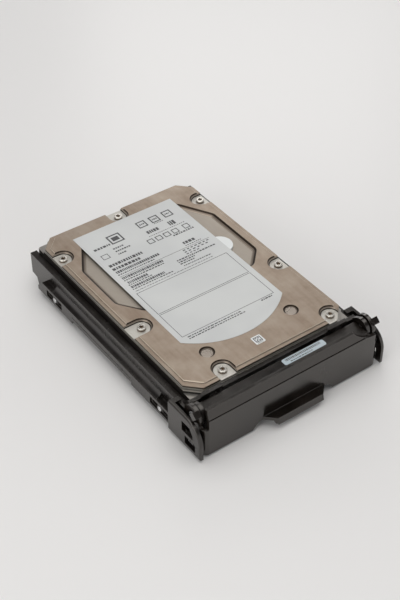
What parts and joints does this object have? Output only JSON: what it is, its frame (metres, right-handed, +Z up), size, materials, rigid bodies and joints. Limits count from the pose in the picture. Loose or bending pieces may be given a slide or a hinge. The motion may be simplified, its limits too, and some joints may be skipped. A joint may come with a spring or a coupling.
{
  "type": "hard drive caddy",
  "caption": "Server drive caddy: a black plastic carrier with guide rails and a swing-up front handle, holding a 3.5 inch hard disk drive.",
  "frame": {"origin": "middle of the front wall's underside, in the plane the caddy rests on", "axes": "+X across the caddy, +Y from the handle end to the connector end, +Z up, out of the drive's cover"},
  "size_m": [0.119, 0.1725, 0.0299],
  "materials": {
    "frame_plastic": "satin black moulding",
    "handle_plastic": "satin black moulding",
    "clip_plastic": "satin black moulding",
    "cast_metal": "machined casting",
    "cover_metal": "satin bronze-grey plate",
    "plug_metal": "satin",
    "steel": "plain",
    "gasket_rubber": "matt",
    "label_grey": "satin film",
    "label_white": "satin film",
    "board": "solder mask",
    "connector_plastic": "moulded",
    "hub_metal": "machined",
    "disc_metal": "polished",
    "magnet_metal": "nickel plated"
  },
  "bodies": {
    "caddy": {"caddy_frame": "frame_plastic", "hinge_pins": "steel", "locating_pins": "steel", "left_near_pin_clip": "clip_plastic", "left_far_pin_clip": "clip_plastic", "right_near_pin_clip": "clip_plastic", "right_far_pin_clip": "clip_plastic", "drive_base": "cast_metal", "cover_gasket": "gasket_rubber", "drive_cover": "cover_metal", "cover_screws": "steel", "left_cover_plug": "plug_metal", "right_cover_plug": "plug_metal", "drive_label": "label_grey", "seal_disc": "label_white", "code_sticker": "label_white", "circuit_board": "board", "board_screws": "steel", "drive_connector": "connector_plastic", "spindle_motor": "steel", "actuator_post": "steel", "lower_magnet": "magnet_metal", "upper_magnet": "magnet_metal"},
    "handle": {"handle": "handle_plastic", "handle_label": "label_white"},
    "spindle": {"spindle_hub": "hub_metal", "discs": "disc_metal", "disc_spacers": "hub_metal", "disc_clamp": "hub_metal"},
    "actuator": {"actuator_arm": "hub_metal"}
  },
  "joints": [
    {"name": "handle_hinge", "type": "hinge", "parent": "caddy", "child": "handle", "pos_m": [0, -0.0066, 0.0215], "axis": [-1, 0, 0], "range_deg": [0, 75]},
    {"name": "spindle_spin", "type": "hinge", "parent": "caddy", "child": "spindle", "pos_m": [0, 0.04945, 0.016], "axis": [0, 0, 1], "continuous": true},
    {"name": "actuator_swing", "type": "hinge", "parent": "caddy", "child": "actuator", "pos_m": [0.016, 0.09345, 0.016], "axis": [0, 0, 1], "range_deg": [-10, 10]}
  ]
}
